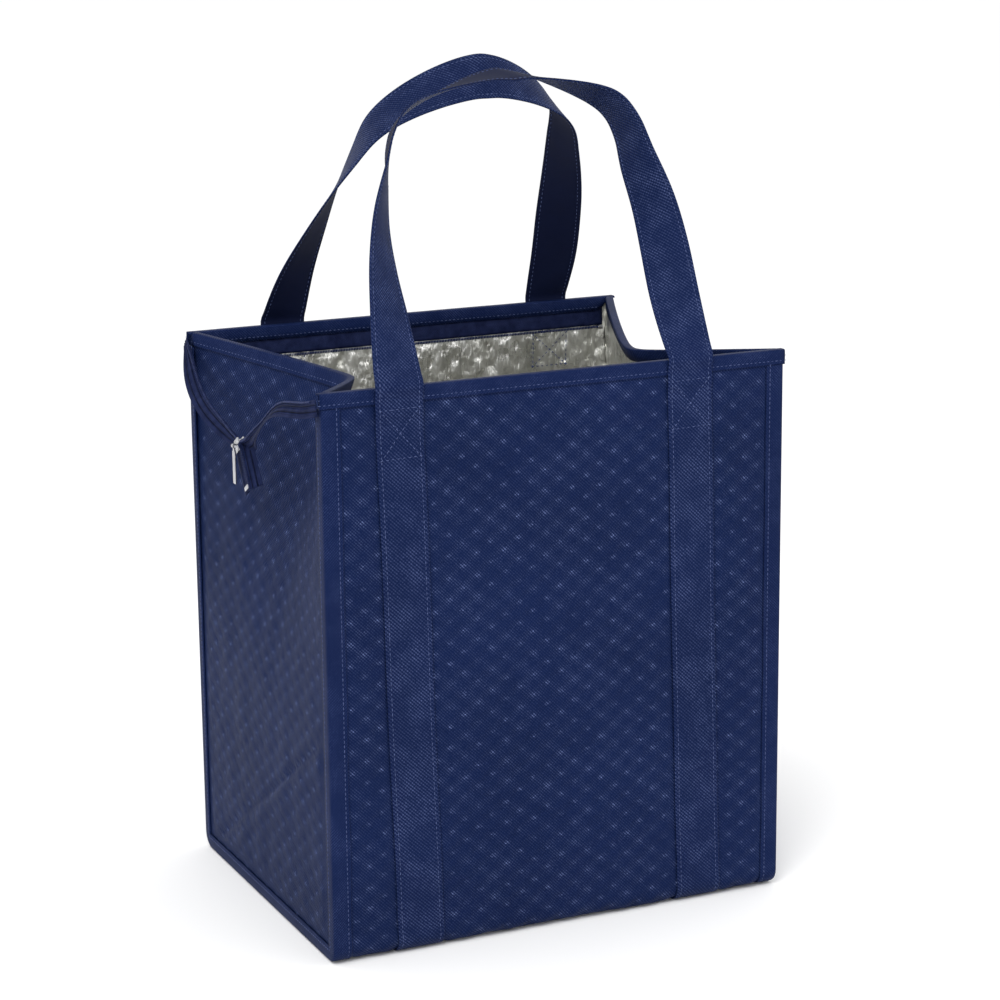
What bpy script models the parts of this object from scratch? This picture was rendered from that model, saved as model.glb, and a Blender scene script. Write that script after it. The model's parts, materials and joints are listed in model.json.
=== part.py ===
"""Insulated grocery tote: quilted shell, foam and foil lining, two webbing handles, zip top.

Metres, +Z up, the front panel faces -Y. The origin is on the floor under the middle of the
whole tote, so the body sits a little to the right of it and the zipper tail to the left.
"""

import math

import bmesh
import bpy
from mathutils import Matrix, Vector

MM = 0.001

# Overall size of the body, over the shell
WIDTH = 330 * MM
DEPTH = 254 * MM
HEIGHT = 381 * MM

# Clearance between pieces
GAP = 0.3 * MM

# Sheet thicknesses
SHELL_T = 0.8 * MM
FOAM_T = 1.6 * MM
FOIL_T = 0.4 * MM
BOARD_T = 2.4 * MM
TAPE_T = 0.7 * MM
BINDING_T = 0.8 * MM
WEBBING_T = 1.4 * MM

# Folds of the shell under the front and back panels
FOLD_R = 5 * MM
FOLD_STEPS = 4

# Gussets: pinched inwards towards the mouth
PINCH_DEPTH = 62 * MM
PINCH_START = 150 * MM
PINCH_DIP = 11 * MM
PINCH_OFFSET = -25 * MM
PINCH_SOFTNESS = 0.08
PINCH_GROWTH = 1.6
GUSSET_COLUMNS = 20
GUSSET_ROWS = 12
COLUMN_CROWDING = 1.5

# Bindings and webbing
TOP_BINDING_H = 10 * MM
TOP_OVERHANG = 2 * MM
CORNER_BINDING_W = 12 * MM
GUSSET_BINDING_STEP = 2 * MM
GUSSET_BINDING_GAP = 0.7 * MM
WEBBING_W = 33 * MM
HANDLE_SPACING = 208 * MM
STRAP_SKEW = 10 * MM
STRAP_JOG = 6 * MM
STRAP_RISE = 0.9 * MM

# Handles: how high the loop stands, how it leans in, how its webbing turns over, how far its
# top sways sideways, and how far each side has drawn in at each share of the height
HANDLE_STATIONS = 56
SWAY_GROWTH = 1.5
LOOP_SHARES = (0.2, 0.38, 0.53, 0.68, 0.81, 0.90, 0.97)
FRONT_HANDLE = {
    "height": 212 * MM,
    "lean": math.radians(32),
    "twist": math.radians(132),
    "twist_growth": 1.0,
    "sway": 23 * MM,
    "draw_in": [d * MM for d in (2, 3, 6, 13, 19, 33, 70)],
}
BACK_HANDLE = {
    "height": 195 * MM,
    "lean": math.radians(27),
    "twist": math.radians(127),
    "twist_growth": 1.05,
    "sway": 15 * MM,
    "draw_in": [d * MM for d in (3, 9, 15, 23, 32, 50, 77)],
}

# Zipper along the mouth
TAPE_DROP = 20 * MM
TAPE_SETBACK = 8 * MM
COIL_R = 1.1 * MM
STOP_LENGTH = 4 * MM
STOP_SIZE = 2.6 * MM

# Zipper tail, which hangs from the two left corners in a flat V and closes below the slider
TAIL_HINGE_DROP = 1.5 * MM
TAIL_TAPE_W = 11 * MM
TAIL_SPLIT = 2 * MM
TAIL_SETBACK = 3 * MM
TAIL_MEETING_Y = 17 * MM
TAIL_MEETING_DROP = 60 * MM
TAIL_END_Y = 0 * MM
TAIL_END_DROP = 87 * MM
FRONT_ARM_BOW = (-20 * MM, 12 * MM)
BACK_ARM_BOW = (6 * MM, -4 * MM)
ARM_STATIONS = 10
TAIL_COIL_W = 1.6 * MM
TAIL_COIL_T = 1.4 * MM
END_STOP_L = 3 * MM

# Slider and pull tab
SLIDER_L = 9 * MM
SLIDER_W = 8 * MM
PLATE_T = 1 * MM
POST_W = 1.2 * MM
POST_L = 2 * MM
BAIL_R = 0.55 * MM
BAIL_W = 5 * MM
LUG_T = 0.8 * MM
LUG_HALF_H = 0.8 * MM
PULL_BORE_R = 0.95 * MM
PULL_RING_R = 1.7 * MM
PULL_RING_W = 2.6 * MM
PULL_W = 5 * MM
PULL_L = 26 * MM
PULL_T = 0.9 * MM
NECK_TOP_DROP = 1.15 * MM
NECK_L = 3.1 * MM
PULL_PLATE_DROP = 3.75 * MM

# Worked out from the values above
HALF_W = WIDTH / 2
HALF_D = DEPTH / 2
BASE_Z = WEBBING_T + GAP
FOAM_IN = SHELL_T + GAP
FOIL_IN = FOAM_IN + FOAM_T + GAP
WALL = FOIL_IN + FOIL_T
PANEL_TOP = HEIGHT - BINDING_T - GAP
PINCH_END = PANEL_TOP
GUSSET_HALF = HALF_D - WALL - GAP
FOLD_INNER_R = FOLD_R - WALL
GUSSET_BOTTOM = BASE_Z + WALL + GAP + BOARD_T + GAP + FOLD_INNER_R
TAPE_IN = WALL + GAP
CAP_IN = TAPE_IN + TAPE_T + GAP + BINDING_T
CORNER_TOP = HEIGHT - TOP_BINDING_H - GAP
GUSSET_BINDING_H = TOP_BINDING_H - GUSSET_BINDING_STEP
STRAP_OUT = HALF_D + GAP + BINDING_T + GAP + WEBBING_T
STRAP_TOP = HEIGHT + STRAP_RISE
HINGE_Y = STRAP_OUT + GAP + WEBBING_T / 2
HINGE_Z = STRAP_TOP + GAP * 2
TOP_HALF_W = HALF_W + TOP_OVERHANG
TAPE_HALF_L = HALF_W - TAPE_SETBACK
TAIL_X = -(TOP_HALF_W + 2 * GAP + TAPE_T / 2)
TAIL_HINGE_Z = HEIGHT - TAIL_HINGE_DROP
TAIL_CORNER_Y = HALF_D - TAIL_SETBACK
TAIL_TOP_Z = TAIL_HINGE_Z - TAIL_HINGE_DROP - 2 * GAP
TAIL_VERTEX = (TAIL_MEETING_Y, HEIGHT - TAIL_MEETING_DROP)
TAIL_END = (TAIL_END_Y, HEIGHT - TAIL_END_DROP)
COIL_TOP = TAIL_X - TAPE_T / 2 - GAP - TAIL_COIL_T
PLATE_OUT = COIL_TOP - GAP - PLATE_T
PLATE_IN = TAIL_X + TAPE_T / 2 + GAP
BAIL_X = PLATE_OUT - PULL_RING_R - GAP
LEFT_REACH = -BAIL_X + PULL_RING_R
BODY_X = (LEFT_REACH - TOP_HALF_W) / 2


def clear_scene():
    for obj in list(bpy.data.objects):
        bpy.data.objects.remove(obj)


def material(name, colour, roughness, metallic=0.0):
    mat = bpy.data.materials.new(name)
    mat.use_nodes = True
    shader = mat.node_tree.nodes["Principled BSDF"]
    shader.inputs["Base Color"].default_value = (*colour, 1.0)
    shader.inputs["Roughness"].default_value = roughness
    shader.inputs["Metallic"].default_value = metallic
    return mat


def add_object(name, mesh, mat, parent, origin=(0, 0, 0)):
    """Adds a mesh whose points are in the parent's space, with its origin moved to a point there."""
    mesh.transform(Matrix.Translation(-Vector(origin)))
    mesh.materials.append(mat)
    obj = bpy.data.objects.new(name, mesh)
    obj.parent = parent
    obj.location = origin
    bpy.context.scene.collection.objects.link(obj)
    return obj


def loft(name, sections):
    """A closed solid through planar loops that have the same number of points."""
    bm = bmesh.new()
    rings = [[bm.verts.new(point) for point in loop] for loop in sections]
    for near, far in zip(rings, rings[1:]):
        for i in range(len(near)):
            j = (i + 1) % len(near)
            bm.faces.new((near[i], near[j], far[j], far[i]))
    bm.faces.new(rings[0])
    bm.faces.new(rings[-1])
    bmesh.ops.triangulate(bm, faces=bm.faces)
    bmesh.ops.recalc_face_normals(bm, faces=bm.faces)
    mesh = bpy.data.meshes.new(name)
    bm.to_mesh(mesh)
    bm.free()
    return mesh


def block(name, low, high):
    """A box between two corners."""
    loop = [(low[1], low[2]), (high[1], low[2]), (high[1], high[2]), (low[1], high[2])]
    return loft(name, [[(x, y, z) for y, z in loop] for x in (low[0], high[0])])


def round_bar(name, start, end, radius, sides=10):
    """A straight round bar along the line from start to end."""
    along = (Vector(end) - Vector(start)).normalized()
    side = along.orthogonal().normalized()
    other = along.cross(side)
    sections = []
    for centre in (Vector(start), Vector(end)):
        angles = [2 * math.pi * i / sides for i in range(sides)]
        sections.append([centre + radius * (math.cos(a) * side + math.sin(a) * other) for a in angles])
    return loft(name, sections)


def combine(obj, mesh, operation):
    """Joins a helper solid to an object, or cuts it away, in the object's own space."""
    helper = bpy.data.objects.new(f"{mesh.name}_helper", mesh)
    mesh.transform(Matrix.Translation(-obj.location))
    helper.parent = obj
    helper.hide_render = True
    helper.display_type = "WIRE"
    bpy.context.scene.collection.objects.link(helper)
    cut = obj.modifiers.new(mesh.name, "BOOLEAN")
    cut.operation = operation
    cut.solver = "EXACT"
    cut.object = helper


def body_path(top, fold_radius=FOLD_R):
    """(y, z) points down the front panel, under the base and up the back panel."""
    points = [(-HALF_D, top)]
    for side in (-1, 1):
        if fold_radius == 0:
            points.append((side * HALF_D, BASE_Z))
            continue
        for step in range(FOLD_STEPS + 1):
            turn = math.pi / 2 * step / FOLD_STEPS
            angle = turn if side < 0 else math.pi / 2 - turn
            y = side * (HALF_D - fold_radius + fold_radius * math.cos(angle))
            points.append((y, BASE_Z + fold_radius - fold_radius * math.sin(angle)))
    points.append((HALF_D, top))
    return points


def sweep(name, path, section):
    """Sweeps a section of (x, out) points along a (y, z) path, out being away from the body."""
    loops = []
    for i, (y, z) in enumerate(path):
        normals = []
        for a, b in ((i - 1, i), (i, i + 1)):
            if a >= 0 and b < len(path):
                along = (Vector(path[b]) - Vector(path[a])).normalized()
                normals.append(Vector((along.y, -along.x)))
        out = sum(normals, Vector((0, 0))).normalized()
        out /= out.dot(normals[0])
        loops.append([(x, y + n * out.x, z + n * out.y) for x, n in section])
    return loft(name, loops)


def rectangle(x0, x1, n0, n1):
    return [(x0, n0), (x1, n0), (x1, n1), (x0, n1)]


def wrap_layer(name, depth, thickness, top, lift=0.0):
    """One sheet of the front panel, base and back panel, made in one piece."""
    path = [(y, z if z > BASE_Z + FOLD_R else z + lift) for y, z in body_path(top)]
    return sweep(name, path, rectangle(-HALF_W, HALF_W, -depth - thickness, -depth))


def pinch_shape(y):
    """0 at the front and back edges of a gusset, 1 at its folded middle."""
    reach = GUSSET_HALF + PINCH_OFFSET if y < PINCH_OFFSET else GUSSET_HALF - PINCH_OFFSET
    share = (y - PINCH_OFFSET) / reach
    soft = math.hypot(share, PINCH_SOFTNESS) - PINCH_SOFTNESS
    return max(0.0, 1 - soft / (math.hypot(1, PINCH_SOFTNESS) - PINCH_SOFTNESS))


def pinch(y, z):
    """How far a gusset is pushed inwards at a point."""
    rise = max(0.0, (z - PINCH_START) / (PINCH_END - PINCH_START))
    return PINCH_DEPTH * rise**PINCH_GROWTH * pinch_shape(y)


def gusset_top(y):
    return PANEL_TOP - PINCH_DIP * pinch_shape(y)


def gusset_columns():
    """Stations along a gusset, closer together at its folded middle."""
    columns = []
    for i in range(GUSSET_COLUMNS + 1):
        share = 2 * i / GUSSET_COLUMNS - 1
        reach = GUSSET_HALF + PINCH_OFFSET if share < 0 else GUSSET_HALF - PINCH_OFFSET
        columns.append(PINCH_OFFSET + reach * math.copysign(abs(share) ** COLUMN_CROWDING, share))
    return columns


def gusset_layer(name, side, depth, thickness):
    sections = []
    for y in gusset_columns():
        heights = [
            GUSSET_BOTTOM + (gusset_top(y) - GUSSET_BOTTOM) * row / GUSSET_ROWS
            for row in range(GUSSET_ROWS + 1)
        ]
        outer = [(side * (HALF_W - depth - pinch(y, z)), y, z) for z in heights]
        inner = [(x - side * thickness, y, z) for x, y, z in reversed(outer)]
        sections.append(outer + inner)
    return loft(name, sections)


def gusset_binding(name, side):
    """The folded strip over a gusset's top edge."""
    half_length = HALF_D - CAP_IN - GAP
    columns = [y for y in gusset_columns() if abs(y) < half_length]
    outer = -GUSSET_BINDING_GAP
    inner = WALL + GUSSET_BINDING_GAP
    sections = []
    for y in [-half_length, *columns, half_length]:
        top = gusset_top(y)
        low = top - GUSSET_BINDING_H
        above = top + GAP
        crown = above + BINDING_T
        profile = [
            (outer - BINDING_T, low),
            (outer - BINDING_T, crown),
            (inner + BINDING_T, crown),
            (inner + BINDING_T, low),
            (inner, low),
            (inner, above),
            (outer, above),
            (outer, low),
        ]
        sections.append([(side * (HALF_W - depth - pinch(y, z)), y, z) for depth, z in profile])
    return loft(name, sections)


def corner_binding(name, side):
    """The strip round the raw edges of a gusset: down the front, under the base, up the back."""
    near = HALF_W - CORNER_BINDING_W
    far = HALF_W + GAP
    section = [
        (near, GAP),
        (near, GAP + BINDING_T),
        (far + BINDING_T, GAP + BINDING_T),
        (far + BINDING_T, -CORNER_BINDING_W),
        (far, -CORNER_BINDING_W),
        (far, GAP),
    ]
    return sweep(name, body_path(CORNER_TOP, 0), [(side * x, n) for x, n in section])


def top_binding(name, side):
    """The strip over the rim of the front or back panel: its outer leg and its cap."""
    outer = HALF_D + GAP + BINDING_T
    low = HEIGHT - TOP_BINDING_H
    profile = [
        (outer, low),
        (outer, HEIGHT),
        (HALF_D - CAP_IN, HEIGHT),
        (HALF_D - CAP_IN, HEIGHT - BINDING_T),
        (outer - BINDING_T, HEIGHT - BINDING_T),
        (outer - BINDING_T, low),
    ]
    return loft(name, [[(x, side * y, z) for y, z in profile] for x in (-TOP_HALF_W, TOP_HALF_W)])


def top_binding_leg(name, side):
    """The inner leg of that strip, which stops short of the gussets."""
    y0 = side * (HALF_D - CAP_IN)
    y1 = side * (HALF_D - CAP_IN + BINDING_T)
    low = (-TAPE_HALF_L, min(y0, y1), HEIGHT - TOP_BINDING_H)
    high = (TAPE_HALF_L, max(y0, y1), HEIGHT - BINDING_T / 2)
    return block(name, low, high)


def strap(name, side):
    """One length of webbing: down the front panel, under the base and up the back panel.

    It runs slightly skew, so its front end stands to the left and its back end to the right.
    """
    jog = GAP + BINDING_T
    step = HEIGHT - TOP_BINDING_H
    lower = body_path(step - 2 * STRAP_JOG)
    front = [(-HALF_D - jog, STRAP_TOP), (-HALF_D - jog, step - STRAP_JOG)]
    back = [(-y, z) for y, z in reversed(front)]
    x0 = side * HANDLE_SPACING / 2 - WEBBING_W / 2
    mesh = sweep(name, front + lower + back, rectangle(x0, x0 + WEBBING_W, GAP, GAP + WEBBING_T))
    for vertex in mesh.vertices:
        rise = vertex.co.z / STRAP_TOP
        vertex.co.x += math.copysign(STRAP_SKEW * max(0.0, rise), vertex.co.y)
    return mesh


def handle_outline(spec):
    """Points of half a handle loop in its own plane, from the rim to the middle of the top."""
    half = HANDLE_SPACING / 2
    sides = [(half - d, spec["height"] * s) for d, s in zip(spec["draw_in"], LOOP_SHARES)]
    return [(half, 0.0), *sides, (0.0, spec["height"])]


def smooth_path(points, count, steps=24):
    """Evenly spaced points on a Catmull-Rom curve through the given ones."""
    points = [Vector(p) for p in points]
    padded = [2 * points[0] - points[1], *points, 2 * points[-1] - points[-2]]
    fine = []
    for a, b, c, d in zip(padded, padded[1:], padded[2:], padded[3:]):
        for step in range(steps):
            t = step / steps
            fine.append(
                0.5 * (2 * b + (c - a) * t + (2 * a - 5 * b + 4 * c - d) * t**2
                       + (3 * b - a - 3 * c + d) * t**3)
            )
    fine.append(points[-1])
    lengths = [0.0]
    for a, b in zip(fine, fine[1:]):
        lengths.append(lengths[-1] + (b - a).length)
    path = []
    at = 0
    for i in range(count + 1):
        want = lengths[-1] * i / count
        while at < len(fine) - 2 and lengths[at + 1] < want:
            at += 1
        share = (want - lengths[at]) / (lengths[at + 1] - lengths[at])
        path.append(fine[at].lerp(fine[at + 1], min(1.0, share)))
    return path


def handle(name, spec):
    """A webbing loop: flat on its panel at both ends, turned over towards the top of the loop."""
    half = handle_outline(spec)
    outline = [(-x, z) for x, z in half] + list(reversed(half[:-1]))
    path = smooth_path(outline, HANDLE_STATIONS)
    sections = []
    for i, point in enumerate(path):
        before = path[max(0, i - 1)]
        after = path[min(HANDLE_STATIONS, i + 1)]
        along = (after - before).normalized()
        if i in (0, HANDLE_STATIONS):
            along = Vector((0, 1 if i == 0 else -1))
        outward = Vector((-along.y, 0, along.x))
        share = min(i, HANDLE_STATIONS - i) / (HANDLE_STATIONS / 2)
        angle = spec["twist"] * share ** spec["twist_growth"]
        width = math.cos(angle) * outward + math.sin(angle) * Vector((0, -1, 0))
        face = width.cross(Vector((along.x, 0, along.y))).normalized()
        sway = spec["sway"] * (point.y / spec["height"]) ** SWAY_GROWTH
        centre = Vector((point.x + sway, 0, point.y))
        a = width * WEBBING_W / 2
        b = face * WEBBING_T / 2
        sections.append([centre - a - b, centre + a - b, centre + a + b, centre - a + b])
    return loft(name, sections)


def offset_ribbon(name, points, x0, x1, left, right):
    """A flat strip in a plane of constant x, between two offsets to the sides of its line."""
    sections = []
    for i, point in enumerate(points):
        before = Vector(points[max(0, i - 1)])
        after = Vector(points[min(len(points) - 1, i + 1)])
        along = (after - before).normalized()
        across = Vector((along.y, -along.x))
        a = Vector(point) + across * left
        b = Vector(point) + across * right
        sections.append([(x0, a.x, a.y), (x0, b.x, b.y), (x1, b.x, b.y), (x1, a.x, a.y)])
    return loft(name, sections)


def tail_direction():
    return (Vector(TAIL_END) - Vector(TAIL_VERTEX)).normalized()


def tail_line(side):
    """The inner edge of a tail tape: from its corner of the mouth, past the slider, to the end."""
    along = tail_direction()
    across = Vector((-along.y, along.x)) * side
    if across.x * side < 0:
        across = -across
    corner = Vector((side * TAIL_CORNER_Y, TAIL_TOP_Z))
    vertex = Vector(TAIL_VERTEX) + across * TAIL_SPLIT / 2
    end = Vector(TAIL_END) + across * TAIL_SPLIT / 2
    bow = Vector(BACK_ARM_BOW if side > 0 else FRONT_ARM_BOW)
    middle = corner.lerp(vertex, 0.5) + bow
    arm = smooth_path([corner, middle, vertex - along * SLIDER_L / 2], ARM_STATIONS)
    closed = [vertex + along * SLIDER_L / 4, end]
    return [tuple(p) for p in arm + closed]


def tail_tape(name, side):
    x0 = TAIL_X - TAPE_T / 2
    return offset_ribbon(name, tail_line(side), x0, x0 + TAPE_T, 0, -side * TAIL_TAPE_W)


def tail_coil(name, side):
    x0 = TAIL_X - TAPE_T / 2 - GAP
    return offset_ribbon(name, tail_line(side), x0 - TAIL_COIL_T, x0, 0, -side * TAIL_COIL_W)


def in_tail(distance, offset):
    """(y, z) of a point given along and across the closed part of the zipper tail."""
    along = tail_direction()
    across = Vector((along.y, -along.x))
    return Vector(TAIL_VERTEX) + along * distance + across * offset


def tail_block(name, x0, x1, along0, along1, across):
    corners = [(along0, -across), (along1, -across), (along1, across), (along0, across)]
    loop = [in_tail(*c) for c in corners]
    return loft(name, [[(x, p.x, p.y) for p in loop] for x in (x0, x1)])


def add_body(parent, mats):
    inside_lift = BOARD_T + GAP
    navy, foam, foil, board = mats["navy"], mats["foam"], mats["foil"], mats["board"]
    add_object("wrap_shell", wrap_layer("wrap_shell", 0, SHELL_T, PANEL_TOP), navy, parent)
    add_object("wrap_foam", wrap_layer("wrap_foam", FOAM_IN, FOAM_T, PANEL_TOP), foam, parent)
    foil_mesh = wrap_layer("wrap_foil", FOIL_IN, FOIL_T, PANEL_TOP, inside_lift)
    add_object("wrap_foil", foil_mesh, foil, parent)
    reach_y = GUSSET_HALF - FOLD_R
    board_z = BASE_Z + FOIL_IN
    low = (-HALF_W + WALL + GAP, -reach_y, board_z)
    high = (HALF_W - WALL - GAP, reach_y, board_z + BOARD_T)
    add_object("base_board", block("base_board", low, high), board, parent)
    for word, side in (("left", -1), ("right", 1)):
        for layer, depth, thickness, mat in (
            ("shell", 0, SHELL_T, navy),
            ("foam", FOAM_IN, FOAM_T, foam),
            ("foil", FOIL_IN, FOIL_T, foil),
        ):
            name = f"gusset_{layer}_{word}"
            add_object(name, gusset_layer(name, side, depth, thickness), mat, parent)


def add_trim(parent, mats):
    navy, webbing = mats["binding"], mats["webbing"]
    for word, side in (("left", -1), ("right", 1)):
        name = f"gusset_binding_{word}"
        add_object(name, gusset_binding(name, side), navy, parent)
        name = f"corner_binding_{word}"
        add_object(name, corner_binding(name, side), navy, parent)
        name = f"webbing_strap_{word}"
        add_object(name, strap(name, side), webbing, parent)
    for word, side in (("front", -1), ("back", 1)):
        name = f"top_binding_{word}"
        binding = add_object(name, top_binding(name, side), navy, parent)
        combine(binding, top_binding_leg(f"{name}_leg", side), "UNION")


def add_mouth_zipper(parent, mats):
    for word, side in (("front", -1), ("back", 1)):
        y0 = side * (HALF_D - TAPE_IN)
        y1 = side * (HALF_D - TAPE_IN - TAPE_T)
        low_z = PANEL_TOP - TAPE_DROP
        name = f"zipper_tape_{word}"
        low = (-TAPE_HALF_L, min(y0, y1), low_z)
        high = (TAPE_HALF_L, max(y0, y1), PANEL_TOP)
        add_object(name, block(name, low, high), mats["tape"], parent)
        name = f"zipper_coil_{word}"
        y = side * (HALF_D - TAPE_IN - STOP_SIZE / 2)
        z = low_z - GAP - COIL_R
        x = TAPE_HALF_L - STOP_LENGTH - GAP
        coil = round_bar(name, (-TAPE_HALF_L, y, z), (x, y, z), COIL_R)
        add_object(name, coil, mats["coil"], parent)
        name = f"zipper_stop_{word}"
        low = (x + GAP, y - STOP_SIZE / 2, low_z - GAP - STOP_SIZE)
        high = (TAPE_HALF_L, y + STOP_SIZE / 2, low_z - GAP)
        add_object(name, block(name, low, high), mats["metal"], parent)


def add_handles(parent, mats):
    for word, side, spec in (("front", -1, FRONT_HANDLE), ("back", 1, BACK_HANDLE)):
        pivot = bpy.data.objects.new(f"{word}_handle_pivot", None)
        pivot.parent = parent
        pivot.location = (side * STRAP_SKEW, side * HINGE_Y, HINGE_Z)
        pivot.rotation_euler = (side * spec["lean"], 0, 0)
        bpy.context.scene.collection.objects.link(pivot)
        name = f"{word}_handle"
        add_object(name, handle(name, spec), mats["webbing"], pivot)


def add_zipper_tail(parent, mats):
    for word, side in (("front", -1), ("back", 1)):
        name = f"tail_tape_{word}"
        add_object(name, tail_tape(name, side), mats["tape"], parent)
        name = f"tail_coil_{word}"
        add_object(name, tail_coil(name, side), mats["coil"], parent)
    length = (Vector(TAIL_END) - Vector(TAIL_VERTEX)).length
    x1 = COIL_TOP - GAP
    stop = tail_block("tail_end_stop", x1 - PLATE_T, x1, length - END_STOP_L, length, SLIDER_W / 2)
    add_object("tail_end_stop", stop, mats["metal"], parent)


def add_slider(parent, mats):
    half = SLIDER_L / 2
    across = SLIDER_W / 2
    plate = tail_block("zipper_slider", PLATE_OUT, PLATE_OUT + PLATE_T, -half, half, across)
    slider = add_object("zipper_slider", plate, mats["metal"], parent)
    back = tail_block("slider_back_plate", PLATE_IN, PLATE_IN + PLATE_T, -half, half, across)
    combine(slider, back, "UNION")
    post_in = PLATE_IN + PLATE_T / 2
    post_out = PLATE_OUT + PLATE_T / 2
    post = tail_block("slider_post", post_out, post_in, -half + GAP, -half + POST_L, POST_W / 2)
    combine(slider, post, "UNION")
    y, z = TAIL_VERTEX
    for word, side in (("front", -1), ("back", 1)):
        lug_y = y + side * (BAIL_W / 2 - LUG_T / 2)
        low = (BAIL_X - BAIL_R, lug_y - LUG_T / 2, z - LUG_HALF_H)
        high = (PLATE_OUT + PLATE_T / 2, lug_y + LUG_T / 2, z + LUG_HALF_H)
        combine(slider, block(f"slider_lug_{word}", low, high), "UNION")
    reach = BAIL_W / 2 - LUG_T / 2
    bail = round_bar("slider_bail", (BAIL_X, y - reach, z), (BAIL_X, y + reach, z), BAIL_R)
    combine(slider, bail, "UNION")


def add_pull_tab(parent, mats):
    y, z = TAIL_VERTEX
    half = PULL_RING_W / 2
    pivot = (BAIL_X, y, z)
    ring = round_bar("zipper_pull_tab", (BAIL_X, y - half, z), (BAIL_X, y + half, z), PULL_RING_R, 16)
    tab = add_object("zipper_pull_tab", ring, mats["metal"], parent, pivot)
    neck_x = BAIL_X - PULL_T / 2
    low = (neck_x, y - half, z - NECK_TOP_DROP - NECK_L)
    high = (neck_x + PULL_T, y + half, z - NECK_TOP_DROP)
    combine(tab, block("pull_neck", low, high), "UNION")
    low = (neck_x, y - PULL_W / 2, z - PULL_L)
    high = (neck_x + PULL_T, y + PULL_W / 2, z - PULL_PLATE_DROP)
    combine(tab, block("pull_plate", low, high), "UNION")
    bore = round_bar("pull_bore", (BAIL_X, y - BAIL_W, z), (BAIL_X, y + BAIL_W, z), PULL_BORE_R, 16)
    combine(tab, bore, "DIFFERENCE")


def main():
    clear_scene()
    mats = {
        "navy": material("navy_shell", (0.014, 0.021, 0.085), 0.7),
        "binding": material("navy_binding", (0.012, 0.018, 0.075), 0.7),
        "webbing": material("navy_webbing", (0.014, 0.021, 0.082), 0.75),
        "tape": material("zipper_tape", (0.013, 0.019, 0.075), 0.75),
        "coil": material("zipper_coil", (0.012, 0.018, 0.07), 0.4),
        "foam": material("foam", (0.85, 0.85, 0.82), 0.9),
        "foil": material("foil", (0.6, 0.6, 0.57), 0.25, 1.0),
        "board": material("base_board", (0.35, 0.3, 0.24), 0.8),
        "metal": material("zipper_metal", (0.7, 0.71, 0.73), 0.25, 1.0),
    }
    frame = bpy.data.objects.new("tote_frame", None)
    frame.location = (BODY_X, 0, 0)
    bpy.context.scene.collection.objects.link(frame)
    add_body(frame, mats)
    add_trim(frame, mats)
    add_mouth_zipper(frame, mats)
    add_handles(frame, mats)
    add_zipper_tail(frame, mats)
    add_slider(frame, mats)
    add_pull_tab(frame, mats)
    bpy.context.view_layer.update()


main()
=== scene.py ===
# Navy insulated grocery tote: the looks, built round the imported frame
import json
import math

import bmesh
import bpy
import numpy as np
from mathutils import Matrix, Vector
from mathutils.bvhtree import BVHTree

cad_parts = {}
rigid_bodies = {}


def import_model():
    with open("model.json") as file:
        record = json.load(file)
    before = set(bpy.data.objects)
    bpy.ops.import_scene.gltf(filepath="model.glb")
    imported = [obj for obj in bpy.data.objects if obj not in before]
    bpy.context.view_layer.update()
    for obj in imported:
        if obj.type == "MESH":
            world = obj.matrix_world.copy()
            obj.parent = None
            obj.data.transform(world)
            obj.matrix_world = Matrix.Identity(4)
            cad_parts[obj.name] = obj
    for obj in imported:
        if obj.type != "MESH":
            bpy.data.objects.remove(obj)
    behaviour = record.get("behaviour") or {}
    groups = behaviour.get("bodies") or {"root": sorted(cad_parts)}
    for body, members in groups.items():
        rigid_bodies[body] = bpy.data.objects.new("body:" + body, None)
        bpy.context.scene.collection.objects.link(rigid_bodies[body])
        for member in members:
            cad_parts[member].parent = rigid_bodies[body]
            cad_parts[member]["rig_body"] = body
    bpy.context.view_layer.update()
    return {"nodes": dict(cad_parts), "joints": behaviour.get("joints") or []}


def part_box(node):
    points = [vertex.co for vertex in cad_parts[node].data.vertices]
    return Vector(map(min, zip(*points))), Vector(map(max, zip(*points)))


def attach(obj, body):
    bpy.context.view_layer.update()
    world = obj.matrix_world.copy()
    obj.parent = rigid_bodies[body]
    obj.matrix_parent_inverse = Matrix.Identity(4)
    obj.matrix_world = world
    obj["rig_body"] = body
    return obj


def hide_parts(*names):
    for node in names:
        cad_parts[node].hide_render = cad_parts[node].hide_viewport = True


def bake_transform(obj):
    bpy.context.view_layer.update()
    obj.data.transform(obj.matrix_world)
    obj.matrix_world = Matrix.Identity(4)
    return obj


mm = 0.001
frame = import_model()

# places read from the frame

wrapLow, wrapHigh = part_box("wrap_shell")
middleX = (wrapLow.x + wrapHigh.x) / 2
halfW = (wrapHigh.x - wrapLow.x) / 2
halfD = wrapHigh.y
baseZ = wrapLow.z
panelTop = wrapHigh.z


# the separate corners of a CAD node
def nodePoints(name):
    raw = np.array([v.co for v in frame["nodes"][name].data.vertices], float)
    return np.unique(np.round(raw, 7), axis=0)


# a CAD node's shape with its doubled corners joined
def nodeShape(name, gap=0.01 * mm):
    bm = bmesh.new()
    bm.from_mesh(frame["nodes"][name].data)
    bmesh.ops.remove_doubles(bm, verts=bm.verts, dist=gap)
    return bm


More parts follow.
